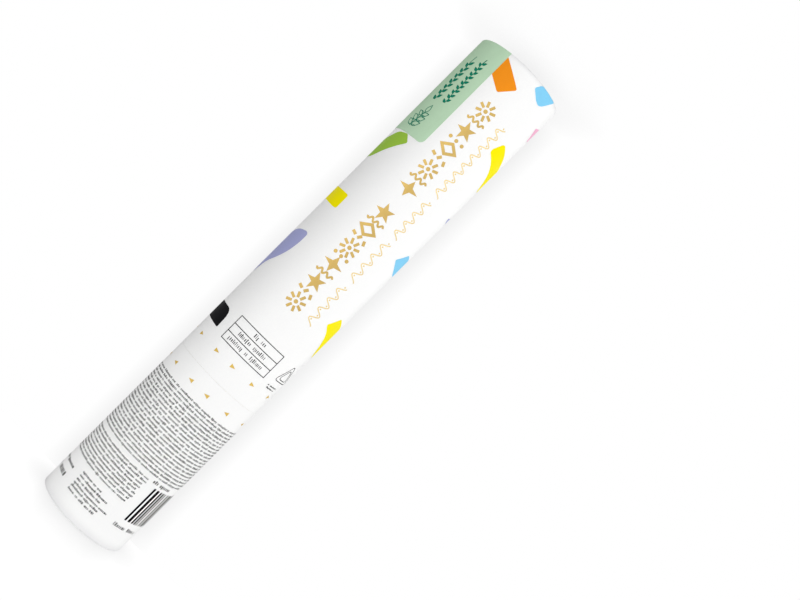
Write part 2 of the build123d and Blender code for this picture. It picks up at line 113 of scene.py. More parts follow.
class Paint:
    """A material on one shader, wired from procedural patterns whose sizes are in millimetres."""

    def __init__(self, name, **sockets):
        self.material = bpy.data.materials.new(name)
        self.material.use_nodes = True
        self.tree = self.material.node_tree
        self.shader = self.tree.nodes["Principled BSDF"]
        self.place = self.add("ShaderNodeTexCoord").outputs["Object"]
        self.normal = None
        for socket, value in sockets.items():
            self.shader.inputs[socket.replace("_", " ")].default_value = value

    def add(self, kind, inputs=(), **settings):
        return add_node(self.tree, kind, inputs, **settings)

    def math(self, way, first, second=0.0):
        return math_node(self.tree, way, first, second)

    def scaled(self, size, stretch=(1, 1, 1)):
        scale = [1 / (size * MM * k) for k in stretch]
        return self.add("ShaderNodeMapping", {"Vector": self.place, "Scale": scale}).outputs[0]

    def cloud(self, size, detail=3.0, stretch=(1, 1, 1), bend=0.0):
        """A cloudy pattern with features about that size."""
        inputs = {"Vector": self.scaled(size, stretch), "Scale": 1.0, "Detail": detail, "Distortion": bend}
        return self.add("ShaderNodeTexNoise", inputs).outputs[0]

    def cells(self, size, feature="F1"):
        """A pattern of cells about that size."""
        inputs = {"Vector": self.scaled(size), "Scale": 1.0}
        return self.add("ShaderNodeTexVoronoi", inputs, feature=feature).outputs["Distance"]

    def along(self, axis):
        return self.add("ShaderNodeSeparateXYZ", {0: self.place}).outputs[axis]

    def spread(self, pattern, low, high, start=0.3, stop=0.7):
        """Carries a pattern onto a range of values."""
        return ranged(self.tree, pattern, start, stop, low, high)

    def tint(self, pattern, *stops):
        """Colours a pattern by stops of (place, colour)."""
        ramp = self.add("ShaderNodeValToRGB", {0: pattern})
        while len(ramp.color_ramp.elements) < len(stops):
            ramp.color_ramp.elements.new(0.5)
        for element, (position, colour) in zip(ramp.color_ramp.elements, stops):
            element.position = position
            element.color = colour
        return ramp.outputs[0]

    def mix(self, share, first, second):
        """Lays one colour over another by a share."""
        return self.add("ShaderNodeMix", {0: share, 6: first, 7: second}, data_type="RGBA").outputs[2]

    def colour(self, socket):
        self.tree.links.new(socket, self.shader.inputs["Base Color"])

    def rough(self, pattern, low, high):
        self.tree.links.new(self.spread(pattern, low, high), self.shader.inputs["Roughness"])

    def bump(self, pattern, depth, strength):
        """Raises the surface by a pattern, to a depth in millimetres, over what is there."""
        inputs = {"Height": pattern, "Distance": depth * MM, "Strength": strength}
        if self.normal:
            inputs["Normal"] = self.normal
        self.normal = self.add("ShaderNodeBump", inputs).outputs[0]
        self.tree.links.new(self.normal, self.shader.inputs["Normal"])


PAPER_FIBRES = {"size": 0.35, "detail": 4.0, "stretch": (1, 1, 2.5), "bend": 0.6}


def paper(name, colour, roughness=(0.42, 0.56), mottle=0.02):
    """Coated paper or a printed ink on it: fine fibres, faint mottling and uneven gloss."""
    made = Paint(name, Specular_IOR_Level=0.03)
    fibres = made.cloud(**PAPER_FIBRES)
    clouds = made.cloud(size=6.0)
    both = made.mix(0.5, fibres, clouds)
    made.colour(made.tint(both, (0.3, shade(colour, 1 - mottle)), (0.7, shade(colour, 1 + mottle))))
    made.rough(clouds, *roughness)
    made.bump(clouds, depth=0.03, strength=0.4)
    made.bump(fibres, depth=0.006, strength=0.5)
    return made


def printed_wrap(foot_shade_and_wear=6.5, muzzle_darkening=3.0):
    """White satin wrap, darker along its two rims: painted shade with some wear by the foot, and darker
    towards the muzzle rim.
    """
    made = Paint("wrap_paper", Specular_IOR_Level=0.18)
    fibres = made.cloud(**PAPER_FIBRES)
    clouds = made.cloud(size=9.0, detail=4.0)
    white = made.tint(fibres, (0.3, screen(248, 248, 248)), (0.7, screen(252, 252, 251)))
    height = made.along("Z")
    # Painted shade with some wear, darkest at the foot, and a plain darkening towards the muzzle rim
    foot = made.spread(height, 1.0, 0.0, 0.0, foot_shade_and_wear * MM)
    brim = made.spread(height, 0.0, 1.0, (LENGTH - muzzle_darkening) * MM, LENGTH * MM)
    edging = made.math("POWER", made.math("ADD", foot, brim), 2.0)
    rims = made.math("MULTIPLY", edging, made.spread(clouds, 0.7, 1.0))
    # Lays the painted shade and darkening by the rims over the white
    made.colour(made.mix(rims, white, screen(228, 228, 229)))
    made.rough(clouds, 0.40, 0.54)
    made.bump(clouds, depth=0.04, strength=0.35)
    made.bump(fibres, depth=0.006, strength=0.5)
    return made


def foil_ink(name, colour):
    """Gold printing: a metal sheen broken up by the paper's grain."""
    made = paper(name, colour, (0.36, 0.5), 0.05)
    made.shader.inputs["Metallic"].default_value = 0.35
    return made


def board(name, colour, plies=True, ply=0.55, lead=78, joint_share=0.006):
    """Grey-brown board: fibres, specks, and on a wound tube the plies' edges and the spiral joint."""
    made = Paint(name, Specular_IOR_Level=0.2)
    fibres = made.cloud(size=0.5, detail=5.0, stretch=(1, 1, 3), bend=1.0)
    specks = made.cells(1.3)
    base = made.tint(fibres, (0.25, shade(colour, 0.78)), (0.5, colour), (0.75, shade(colour, 1.12)))
    flecked = made.mix(made.spread(specks, 0.45, 0.0, 0.02, 0.12), base, shade(colour, 0.5))
    made.rough(fibres, 0.75, 0.92)
    made.bump(fibres, depth=0.04, strength=0.7)
    if plies:
        inputs = {0: made.place, 1: (1, 1, 0)}
        across = made.add("ShaderNodeVectorMath", inputs, operation="MULTIPLY").outputs[0]
        radius = made.add("ShaderNodeVectorMath", {0: across}, operation="LENGTH").outputs["Value"]
        layers = made.math("SINE", made.math("MULTIPLY", radius, 2 * pi / (ply * MM)))
        angle = made.add("ShaderNodeTexGradient", {0: made.place}, gradient_type="RADIAL").outputs["Fac"]
        climb = made.math("MULTIPLY", made.along("Z"), 1 / (lead * MM))
        joint = made.math("LESS_THAN", made.math("FRACT", made.math("ADD", climb, angle)), joint_share)
        flecked = made.mix(made.spread(layers, 0.0, 0.28, 0.2, 0.9), flecked, shade(colour, 0.55))
        flecked = made.mix(made.math("MULTIPLY", joint, 0.5), flecked, shade(colour, 0.4))
        made.bump(made.math("SUBTRACT", 1.0, joint), depth=0.08, strength=0.8)
    made.colour(flecked)
    return made


def moulded(name, colour):
    """Injection-moulded plastic: fine spark texture, faint flow marks, edges a touch paler."""
    made = Paint(name, Specular_IOR_Level=0.45)
    pits = made.cloud(size=0.25)
    flow = made.cloud(size=14.0, detail=2.0, stretch=(1, 1, 0.4), bend=1.5)
    marked = made.tint(flow, (0.3, shade(colour, 0.93)), (0.7, shade(colour, 1.05)))
    edges = made.add("ShaderNodeNewGeometry").outputs["Pointiness"]
    edging = made.spread(edges, 0.0, 0.35, 0.52, 0.6)
    made.colour(made.mix(edging, marked, shade(colour, 1.35)))
    made.rough(flow, 0.42, 0.58)
    made.bump(flow, depth=0.05, strength=0.3)
    made.bump(pits, depth=0.012, strength=0.7)
    return made


def metal(name, colour, roughness, stretch, size=0.3):
    """Bare metal with the fine lines of drawing or grinding."""
    made = Paint(name, Metallic=1.0)
    lines = made.cloud(size, stretch=stretch)
    stains = made.cloud(size=7.0, detail=4.0)
    lined = made.tint(lines, (0.3, shade(colour, 0.86)), (0.7, colour))
    made.colour(made.mix(made.spread(stains, 0.0, 0.3), lined, shade(colour, 0.7)))
    made.rough(lines, *roughness)
    made.bump(lines, depth=0.01, strength=0.6)
    return made


def crinkled_foil():
    made = Paint("bright_foil", Metallic=1.0)
    folds = made.cells(1.1, "F2")
    waves = made.cloud(size=2.5)
    made.colour(made.tint(waves, (0.3, screen(205, 206, 209)), (0.7, screen(238, 238, 240))))
    made.rough(waves, 0.14, 0.3)
    made.bump(folds, depth=0.05, strength=0.6)
    made.bump(waves, depth=0.05, strength=0.6)
    return made


def rubber(name, colour):
    made = Paint(name, Specular_IOR_Level=0.35)
    grain = made.cloud(size=0.2)
    bloom = made.cloud(size=3.0, detail=4.0)
    made.colour(made.tint(bloom, (0.35, colour), (0.75, shade(colour, 2.2))))
    made.rough(bloom, 0.6, 0.85)
    made.bump(grain, depth=0.01, strength=0.6)
    return made


def foam(name, colour):
    """Closed-cell foam: packed bubbles, with painted shade in their hollows and paler where they meet."""
    made = Paint(name, Specular_IOR_Level=0.25)
    bubbles = made.cells(0.55)
    fine = made.cells(0.22)
    # Painted shade in the bubbles' hollows, paler where the bubbles meet
    made.colour(made.tint(bubbles, (0.05, shade(colour, 0.45)), (0.5, colour), (0.9, shade(colour, 1.7))))
    made.rough(fine, 0.8, 0.95)
    made.bump(bubbles, depth=0.16, strength=0.9)
    made.bump(fine, depth=0.05, strength=0.6)
    return made


def felt(name, colour):
    """Pressed felt: matted fibres at many angles, with paler and darker strands."""
    made = Paint(name, Specular_IOR_Level=0.1, Sheen_Weight=0.4, Sheen_Roughness=0.6)
    strands = made.cloud(size=0.25, detail=6.0, stretch=(5, 1, 1), bend=2.5)
    others = made.cloud(size=0.25, detail=6.0, stretch=(1, 5, 1.4), bend=2.5)
    matted = made.math("MAXIMUM", strands, others)
    lumps = made.cloud(size=2.2)
    hairs = made.tint(matted, (0.35, shade(colour, 0.45)), (0.55, colour), (0.8, shade(colour, 1.7)))
    made.colour(made.mix(made.spread(lumps, 0.0, 0.35), hairs, shade(colour, 0.6)))
    made.rough(matted, 0.85, 1.0)
    made.bump(lumps, depth=0.25, strength=0.5)
    made.bump(matted, depth=0.12, strength=0.9)
    return made


def tissue(name, colour):
    """Dyed tissue paper: each slip a little lighter or darker, with cloudy formation and loose fibres."""
    made = Paint(name, Specular_IOR_Level=0.12, Sheen_Weight=0.15)
    formation = made.cloud(size=5.0, detail=5.0, bend=0.8)
    fibres = made.cloud(size=0.3, detail=5.0, stretch=(1, 1, 4), bend=1.5)
    dye = made.add("ShaderNodeNewGeometry").outputs["Random Per Island"]
    slips = made.tint(dye, (0.0, shade(colour, 0.7)), (0.5, colour), (1.0, shade(colour, 1.12)))
    cloudy = made.mix(made.spread(formation, 0.0, 0.25), slips, shade(colour, 0.78))
    made.colour(made.mix(made.spread(fibres, 0.0, 0.15, 0.55, 0.75), cloudy, shade(colour, 1.25)))
    made.rough(formation, 0.72, 0.92)
    made.bump(formation, depth=0.1, strength=0.5)
    made.bump(fibres, depth=0.02, strength=0.6)
    return made


BLACK = screen(20, 20, 22)
INKS = {
    "orange": screen(245, 147, 30),
    "sky": screen(135, 210, 247),
    "pink": screen(246, 182, 212),
    "yellow": screen(255, 240, 0),
    "green": screen(158, 200, 71),
    "lavender": screen(168, 172, 216),
}
TISSUES = {
    "lilac": screen(190, 167, 220),
    "yellow": screen(248, 240, 110),
    "sky": screen(201, 226, 233),
    "lime": screen(216, 230, 112),
    "orange": screen(255, 160, 45),
    "blush": screen(239, 219, 219),
}

wrap_paint = printed_wrap()
sticker_paint = paper("sticker_paper", screen(191, 222, 190), (0.6, 0.75), 0.03)
board_paint = board("wound_board", screen(203, 187, 162))
gold_paint = foil_ink("gold_ink", screen(200, 169, 99))
pale_gold_paint = foil_ink("pale_gold_ink", screen(223, 201, 147))
arrow_paint = foil_ink("arrow_gold_ink", screen(217, 184, 94))
black_paint = paper("black_ink", BLACK, (0.45, 0.6), 0.12)
fine_print_paint = paper("fine_print_ink", BLACK, (0.5, 0.65), 0.12)
leaf_paint = paper("dark_green_ink", screen(26, 128, 100), (0.55, 0.7), 0.08)
flake_paints = {name: paper(f"{name}_ink", colour) for name, colour in INKS.items()}
tissue_paints = {name: tissue(f"{name}_tissue", colour) for name, colour in TISSUES.items()}

NODE_PAINTS = {
    "handle_tube": board_paint,
    "barrel_tube": board_paint,
    "handle_label": wrap_paint,
    "barrel_label": wrap_paint,
    "side_sticker": sticker_paint,
    "base_plug": moulded("base_plastic", screen(232, 232, 230)),
    "gas_bottle": metal("drawn_aluminium", screen(214, 216, 219), (0.24, 0.4), stretch=(1, 1, 14)),
    "foil_seal": crinkled_foil(),
    "crimp_ferrule": metal("gold_lacquer", screen(221, 190, 120), (0.18, 0.3), stretch=(1, 1, 0.2)),
    "neck_gasket": rubber("gasket_rubber", screen(40, 40, 41)),
    "cam_o_ring": rubber("ring_rubber", screen(30, 30, 31)),
    "cam_sleeve": moulded("cam_plastic", screen(226, 226, 222)),
    "pin_carrier": moulded("carrier_plastic", screen(192, 52, 44)),
    "piercing_pin": metal("ground_steel", screen(200, 203, 208), (0.16, 0.3), stretch=(1, 1, 0.05)),
    "follower_pins": metal("turned_steel", screen(196, 198, 203), (0.18, 0.32), stretch=(0.05, 1, 1)),
    "guide_sleeve": moulded("guide_plastic", screen(62, 62, 66)),
    "retaining_ring": moulded("ring_plastic", screen(148, 151, 156)),
    "diffuser_plate": moulded("diffuser_plastic", screen(70, 70, 74)),
    "pusher_card": board("grey_card", screen(186, 180, 172), plies=False),
    "muzzle_disc": board("muzzle_board", screen(206, 192, 170), plies=False),
}
for name, paint in NODE_PAINTS.items():
    nodes[name].data.materials.clear()
    nodes[name].data.materials.append(paint.material)


# Outlines on the wrap, as (millimetres round it from the front, millimetres up it)

SQUARE = ((-1, -1), (1, -1), (1, 1), (-1, 1))


def rounded(points, corner=1.1, ease=7.0, sharp=0.75, share=0.45, steps=6):
    """Rounds an outline's corners: tight where it turns sharply, and long where it only bends."""
    made = []
    for index, here in enumerate(points):
        here = Vector(here)
        back = Vector(points[index - 1]) - here
        ahead = Vector(points[(index + 1) % len(points)]) - here
        widest = corner if back.angle(-ahead) > sharp else ease
        trim = min(share * back.length, share * ahead.length, widest)
        start, end = here + back.normalized() * trim, here + ahead.normalized() * trim
        for step in range(steps + 1):
            t = step / steps
            made.append(tuple(start * (1 - t) ** 2 + here * (2 * t * (1 - t)) + end * t**2))
    return made


def block(start, end, low, high):
    """A rectangle, cut short enough round the tube to follow it."""
    count = max(1, ceil((end - start) / FACET))
    edges = [start + (end - start) * step / count for step in range(count + 1)]
    return [[(a, low), (b, low), (b, high), (a, high)] for a, b in zip(edges, edges[1:])]


def stroke(points, width, closed=False, mitre=0.5):
    """A line of that width through points, as a run of four-sided outlines."""
    points = [Vector(p) for p in points]
    if closed:
        points.append(points[0])
    fine = []
    for a, b in zip(points, points[1:]):
        count = max(1, ceil((b - a).length / FACET))
        fine += [a.lerp(b, step / count) for step in range(count)]
    fine.append(points[-1])
    sides = []
    for index, here in enumerate(fine):
        before = fine[index - 1] if index else (fine[-2] if closed else here)
        after = fine[index + 1] if index + 1 < len(fine) else (fine[1] if closed else here)
        into, away = here - before, after - here
        into = into.normalized() if into.length else away.normalized()
        away = away.normalized() if away.length else into
        way = (into + away).normalized()
        reach = width / 2 / max(mitre, way.dot(away))
        side = Vector((-way.y, way.x)) * reach
        sides.append((here - side, here + side))
    return [[tuple(a[0]), tuple(b[0]), tuple(b[1]), tuple(a[1])] for a, b in zip(sides, sides[1:])]


def dot(s, z, radius, sides=18):
    turns = [2 * pi * k / sides for k in range(sides)]
    return [(s + radius * cos(turn), z + radius * sin(turn)) for turn in turns]


def cut_up(outline):
    """Cuts an outline into flat facets, small enough to lie round the tube and over its muzzle rim."""
    across = [s for s, z in outline]
    if len(outline) == 4 and max(across) - min(across) <= FACET * FACET_SPARE:
        return [outline]
    steps = range(ceil(min(across) / FACET), floor(max(across) / FACET) + 1)
    cuts = [((step * FACET, 0, 0), (1, 0, 0)) for step in steps]
    if max(z for s, z in outline) > LENGTH - RIM:
        cuts += [((0, LENGTH - RIM + step * RIM / RIM_CUTS, 0), (0, 1, 0)) for step in range(RIM_CUTS)]
    mesh = bmesh.new()
    mesh.faces.new([mesh.verts.new((s, z, 0)) for s, z in outline])
    bmesh.ops.triangulate(mesh, faces=mesh.faces[:])
    for place, way in cuts:
        everything = mesh.verts[:] + mesh.edges[:] + mesh.faces[:]
        bmesh.ops.bisect_plane(mesh, geom=everything, plane_co=place, plane_no=way)
    made = [[(v.co.x, v.co.y) for v in face.verts] for face in mesh.faces]
    mesh.free()
    return made


def skin(s, z, lift):
    """Gives the point of the wrap's outside at a place on it, raised by a lift, and the way out there."""
    over = max(z - LENGTH + RIM, 0) - max(RIM - z, 0)
    lean = min(STEEPEST_LEAN, abs(over) / RIM_OUT) * (1 if over > 0 else -1)
    level = sqrt(1 - lean**2)
    reach = RADIUS - RIM_OUT + RIM_OUT * level
    turn = s / RADIUS
    out = Vector((sin(turn) * level, -cos(turn) * level, lean))
    base = Vector((reach * sin(turn), -reach * cos(turn), z))
    return (base + out * lift) * MM, out


def placed(name, data):
    """Puts a mesh, lamp or camera into the scene."""
    made = bpy.data.objects.new(name, data)
    bpy.context.scene.collection.objects.link(made)
    return made


def mesh_of(name, points, faces, material):
    mesh = bpy.data.meshes.new(name)
    mesh.from_pydata(points, [], faces)
    mesh.materials.append(material)
    return mesh


def mesh_piece(name, points, faces, paint, body, ways=None):
    """A smooth mesh that rides on a body, with the way out at each point where it is given."""
    mesh = mesh_of(name, points, faces, paint.material)
    mesh.shade_smooth()
    if ways:
        mesh.normals_split_custom_set_from_vertices(ways)
    piece = placed(name, mesh)
    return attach(piece, body)


def printing(name, outlines, paint, body, lift=INK_LIFT):
    """Lays outlines round the tube as one thin printed piece that rides on a body."""
    points, faces, ways, known = [], [], [], {}
    for outline in outlines:
        for facet in cut_up(outline):
            area = sum(a[0] * b[1] - b[0] * a[1] for a, b in zip(facet, facet[1:] + facet[:1]))
            ordered = facet if area > 0 else facet[::-1]
            spots = list(dict.fromkeys((round(s, WELD_DIGITS), round(z, WELD_DIGITS)) for s, z in ordered))
            if len(spots) < 3 or abs(area) < LEAST_AREA:
                continue
            for spot in spots:
                if spot not in known:
                    known[spot] = len(points)
                    place, way = skin(*spot, lift)
                    points.append(place)
                    ways.append(way)
            faces.append([known[spot] for spot in spots])
    return mesh_piece(name, points, faces, paint, body, ways)


# Paper flakes printed on the barrel: those in view by their corners, and those round the back as bent slips


def bent(s, z, length, width, lean, bend, taper=0.45, steps=8):
    """A paper slip that bends and narrows along its length, leaning from straight round the tube."""
    way = Vector((cos(radians(lean)), sin(radians(lean))))
    side = Vector((-way.y, way.x))
    near, far = [], []
    for step in range(steps + 1):
        share = step / steps
        spine = way * length * (share - 0.5) + side * bend * sin(pi * share)
        half = side * width / 2 * (1 - taper * share)
        near.append(spine - half)
        far.append(spine + half)
    return [(s + p.x, z + p.y) for p in near + far[::-1]]


FLAKES = {
    "orange": [
        [(-12.5, 299.2), (4.2, 289.0), (-2.0, 281.8), (-12.5, 288.2)],
        bent(64, 176, 19, 10, 20, 3.0),
        bent(-59, 243, 18, 9, -35, -2.6),
        bent(66, 116, 14, 9, 50, 1.2),
    ],
    "sky": [
        [(9.2, 296.2), (11.5, 299.8), (24.5, 299.8), (19.5, 293.5), (17.5, 292.2), (14.5, 292.8)],
        [(23.2, 194), (30, 200.3), (37, 198.8), (47, 194.5), (44.5, 185.8), (37, 187.7), (33, 188),
         (28, 190.5)],
        bent(-66, 213, 18, 10, 205, 2.4),
        bent(-55, 127, 18, 10, -20, 2.8),
    ],
    "pink": [
        [(29.5, 286.3), (37, 288.5), (44, 290.5), (46.5, 283), (37, 280), (34.5, 279.5)],
        bent(61, 236, 17, 10, 140, 2.0),
        bent(-62, 181, 20, 10, 15, -3.0),
        bent(-62, 286, 18, 9.5, 155, 2.6),
    ],
    "yellow": [
        [(16.5, 262.5), (19.5, 268), (21, 268.5), (27, 265.5), (33, 261), (39, 259.5), (48, 257.5),
         (46, 248), (38, 245.5), (34.5, 245.5), (31.5, 250), (27, 255), (22, 258.5), (17, 261)],
        [(-41, 200.4), (-36, 200.3), (-20, 199.6), (-19, 199), (-19, 191), (-22, 190.7), (-36, 191.8),
         (-42, 192.3)],
        [(21.2, 149.3), (27, 155.9), (31, 154), (37, 151.5), (44, 146), (49, 138), (39, 131.5), (34.5, 133),
         (31, 139), (27, 145)],
        bent(65, 286, 20, 10.5, 30, 3.4),
        bent(-70, 143, 15, 9, 60, 1.6),
    ],
    "green": [
        [(-34, 233.5), (-31, 235), (-27, 238.8), (-20, 240), (-16, 236.3), (-21, 231), (-27, 224.5),
         (-30, 221.5), (-34, 220.5), (-39, 219.8), (-47, 220.5), (-46.5, 230.5), (-39, 232)],
        bent(63, 207, 18, 9.5, 25, -2.6),
        bent(-55, 158, 17, 9, 215, 2.2),
    ],
    "lavender": [
        [(-40, 167), (-33, 171), (-28, 172.8), (-22, 173.8), (-20, 173), (-20, 168), (-21.5, 161),
         (-25, 155), (-30, 150.5), (-34, 144), (-36, 142), (-42, 144), (-44, 157)],
        [(32.5, 226.5), (37, 227.5), (44, 229.5), (46, 221.5), (37, 224), (34, 224.5)],
        bent(62, 261, 19, 10, -20, -3.2),
        bent(61, 144, 20, 10, 150, 3.2),
    ],
}
for name, outlines in FLAKES.items():
    printing(f"flakes_{name}", [rounded(outline) for outline in outlines], flake_paints[name], "barrel")


# Gold ornaments along the barrel, drawn as (along the tube, towards its upper side) about their own middle


def star(height):
    reach = [height * 0.54, height * 0.22]
    return [[(reach[k % 2] * sin(pi * k / 5), reach[k % 2] * cos(pi * k / 5)) for k in range(10)]]


def sparkle(height):
    tips = ((0.0, 0.58), (0.48, 0.0), (0.0, -0.58), (-0.48, 0.0))
    waists = ((0.13, 0.15), (0.13, -0.15), (-0.13, -0.15), (-0.13, 0.15))
    return [[(a * height, b * height) for pair in zip(tips, waists) for a, b in pair]]


def streamer(height, width=1.0, waves=3, steps=60):
    shares = [k / steps for k in range(steps + 1)]
    return stroke([(height * 0.09 * sin(2 * pi * waves * t), height * (t - 0.5)) for t in shares], width)


def flecks(height):
    """Three small slips of paper, each at its own angle."""
    made = []
    for share, lean in ((-0.36, 25), (0.02, -35), (0.38, 70)):
        way = Vector((cos(radians(lean)), sin(radians(lean)))) * height * 0.13
        side = Vector((-way.y, way.x)) * 0.6
        middle = Vector((height * 0.05 * (1 if share > 0 else -1), height * share))
        made.append([tuple(middle + way * a + side * b) for a, b in SQUARE])
    return made


def diamond(height, width=1.5):
    tall, wide = height * 0.44, height * 0.32
    return stroke([(0, tall), (wide, 0), (0, -tall), (-wide, 0)], width, closed=True)


def dots(height):
    return [dot(0, height * share, height * 0.1) for share in (-0.38, 0, 0.38)]


def burst(height, width=1.35, rays=8):
    made = [dot(0, 0, height * 0.11)]
    for k in range(rays):
        turn = 2 * pi * (k + 0.5) / rays
        way = Vector((cos(turn), sin(turn)))
        made += stroke([way * height * 0.22, way * height * 0.52], width)
    return made


ORNAMENT_ROWS = {
    (142, 210): (burst, flecks, star, streamer, sparkle, dots, burst, flecks, diamond, streamer, star),
    (216.5, 276.5): (sparkle, streamer, burst, flecks, diamond, dots, star, streamer, burst),
}


def row(motifs, start, end, middle=0.75, height=9.5):
    """Spaces ornaments evenly along the tube between two heights."""
    drawn = [motif(height) for motif in motifs]
    lows = [min(a for outline in shape for a, b in outline) for shape in drawn]
    wide = [max(a for outline in shape for a, b in outline) - low for shape, low in zip(drawn, lows)]
    gap = (end - start - sum(wide)) / (len(drawn) - 1)
    made, at = [], start
    for shape, low, width in zip(drawn, lows, wide):
        made += [[(middle - b, at - low + a) for a, b in outline] for outline in shape]
        at += width + gap
    return made


ornaments = []
for (start, end), motifs in ORNAMENT_ROWS.items():
    ornaments += row(motifs, start, end)
printing("gold_ornaments", ornaments, gold_paint, "barrel")

# A waved garland beside the ornaments, in runs between two heights
GARLAND_RUNS = ((143, 167.5), (171.5, 196.5), (200, 223.5), (227.5, 272.5))


def garland(low, high, middle=12.5, swing=2.1, pitch=6, line=0.6, bead=0.45, aside=0.6, steps=16):
    """A waved line up the tube between two heights, with a dot in its bends."""
    waves = round((high - low) / pitch)
    wave = (high - low) / waves
    turns = [k / steps for k in range(waves * steps + 1)]
    made = stroke([(middle + swing * cos(2 * pi * turn), low + wave * turn) for turn in turns], line)
    for k in range(2 * waves):
        shift = aside if k % 2 else -aside
        made.append(dot(middle + shift, low + wave * (k + 1) / 2, bead, sides=12))
    return made


garlands = [outline for low, high in GARLAND_RUNS for outline in garland(low, high)]
printing("gold_garland", garlands, pale_gold_paint, "barrel")

# The rings of arrowheads each side of the twist joint, by height and by the angles of those in view
BARREL_ARROWS = (104.4, (-54, -21, 4, 34, 70))
HANDLE_ARROWS = (86.3, (-51, -19, 5, 36, 73))


def arrowheads(height, angles, way, count=12, length=2.8, width=2.1):
    """Arrowheads that point round the tube: some at given angles, the rest evenly round the back."""
    others = count - len(angles)
    step = (360 + angles[0] - angles[-1]) / (others + 1)
    made = []
    for angle in [*angles, *(angles[-1] + step * (k + 1) for k in range(others))]:
        s = radians(angle) * RADIUS
        tip, tail = s + way * length / 2, s - way * length / 2
        made.append([(tail, height - width / 2), (tip, height), (tail, height + width / 2)])
    return made


printing("twist_marks_barrel", arrowheads(*BARREL_ARROWS, way=1), arrow_paint, "barrel")
printing("twist_marks_handle", arrowheads(*HANDLE_ARROWS, way=-1), arrow_paint, "handle")


# Fine print as plain bars with no letters, a ruled table, a bar block and small marks

# Bars of fine print and groups of them, as shares of its size, with counts and chances
BAR_WIDTHS = (0.6, 1.5)
BAR_TOPS = (0.4, 0.52)
BAR_FOOT = 0.42
BAR_GAPS = (0.22, 0.44)
TALL_TOP, TALL_CHANCE = 0.8, 0.2
DEEP_FOOT, DEEP_CHANCE = 0.75, 0.08
BOLD, BOLD_CHANCE = 1.25, 0.12
GROUP_BARS = (2, 10)
GROUP_GAPS = (0.75, 1.2)


def fine_print(draw, start, end, height, size, weight=0.56):
    """Fills a line with short bars of the size and spacing of fine print, with no letters among them."""
    made, s = [], start
    while True:
        bold = BOLD if draw.random() < BOLD_CHANCE else 1.0
        for _ in range(draw.randint(*GROUP_BARS)):
            width = size * draw.uniform(*BAR_WIDTHS) * weight * bold
            if s + width > end:
                return made
            top = height + size * (TALL_TOP if draw.random() < TALL_CHANCE else draw.uniform(*BAR_TOPS))
            low = height - size * (DEEP_FOOT if draw.random() < DEEP_CHANCE else BAR_FOOT)
            made.append([(s, low), (s + width, low), (s + width, top), (s, top)])
            s += width + size * draw.uniform(*BAR_GAPS)
        s += size * draw.uniform(*GROUP_GAPS)


# Two paragraphs, as (lines, first height, pitch, start, end, last end), and short lines, as (height, end)
PARAGRAPHS = ((21, 80.0, 1.875, -64, 64, 36), (9, 39.0, 1.844, -64, 11.7, 11.7))
SHORT_LINES = ((19.9, -0.5), (17.8, 6), (15.75, 3), (13.75, 9), (11.9, 5.5), (9.75, 4.5))
PRINT_SEED = 7

draw = Random(PRINT_SEED)
lines = []
for count, top, pitch, start, end, last_end in PARAGRAPHS:
    for k in range(count):
        line_end = end if k < count - 1 else last_end
        lines += fine_print(draw, start, line_end, top - pitch * k, size=0.86)
for height, end in SHORT_LINES:
    lines += fine_print(draw, start=-14, end=end, height=height, size=0.95)
lines += fine_print(draw, start=-46, end=-18, height=16.8, size=1.3)
lines += fine_print(draw, start=-46, end=-21, height=11.3, size=2.5, weight=0.36)
printing("fine_print_handle", lines, fine_print_paint, "handle")

# The bar block, as (place, width) of its bars, between two heights
BARS = ((18, 1.3), (20.5, 1.7), (22.9, 1.2), (24.8, 1.3), (26.6, 0.8), (29.2, 1.2), (32.2, 2.2),
        (35.2, 1.2), (37.6, 1.6), (40.2, 0.9))
BARS_LOW, BARS_HIGH = 17, 37.5

marks = []
for place, width in BARS:
    marks += block(place - width / 2, place + width / 2, BARS_LOW, BARS_HIGH)
marks += fine_print(draw, start=14, end=28, height=39.8, size=1.5, weight=0.4)
marks += fine_print(draw, start=14.5, end=33, height=12.6, size=1.6, weight=0.4)
printing("bar_block", marks, black_paint, "handle")

# The table, by its rules up and across, and its lines of print as (start, end, height)
TABLE_HEIGHTS = (110.5, 115.1, 119.6, 124.3)
TABLE_SIDES = (-13, 16.3)
TABLE_RULE = 0.4
TABLE_PRINT = ((-1.5, 5.5, 121.9), (-7.5, 10.5, 117.3), (-10, 13, 112.8))

half = TABLE_RULE / 2
table = []
for height in TABLE_HEIGHTS:
    table += block(TABLE_SIDES[0] - half, TABLE_SIDES[1] + half, height - half, height + half)
for s in TABLE_SIDES:
    table += block(s - half, s + half, TABLE_HEIGHTS[0], TABLE_HEIGHTS[-1])
for start, end, height in TABLE_PRINT:
    table += fine_print(draw, start, end, height, size=1.7, weight=0.2)
printing("ruled_table", table, fine_print_paint, "barrel")

TAB = [(-37, 112.6), (-19.1, 111.8), (-19.5, 118.4), (-20.5, 121), (-22.7, 122.3), (-37, 122.6)]
printing("black_tab", [rounded(TAB, corner=0.7, ease=2.0)], black_paint, "barrel")


def triangle(s, z, reach, corner=2.4, line=0.4):
    """A rounded triangle in outline about its middle."""
    turns = [2 * pi * k / 3 for k in range(3)]
    corners = [(s - reach * sin(turn), z + reach * cos(turn)) for turn in turns]
    return stroke(rounded(corners, corner), line, closed=True)


# Two triangles, one in the other, over two short lines of print
MARK_MIDDLE = (28.5, 117.2)
MARK_PRINT = ((21.5, 31, 109.6), (22, 29.5, 108.1))

loops = triangle(*MARK_MIDDLE, reach=7.4) + triangle(*MARK_MIDDLE, reach=4.8)
for start, end, height in MARK_PRINT:
    loops += fine_print(draw, start, end, height, size=0.7)
printing("outline_mark", loops, fine_print_paint, "barrel")


# Leaves printed on the sticker

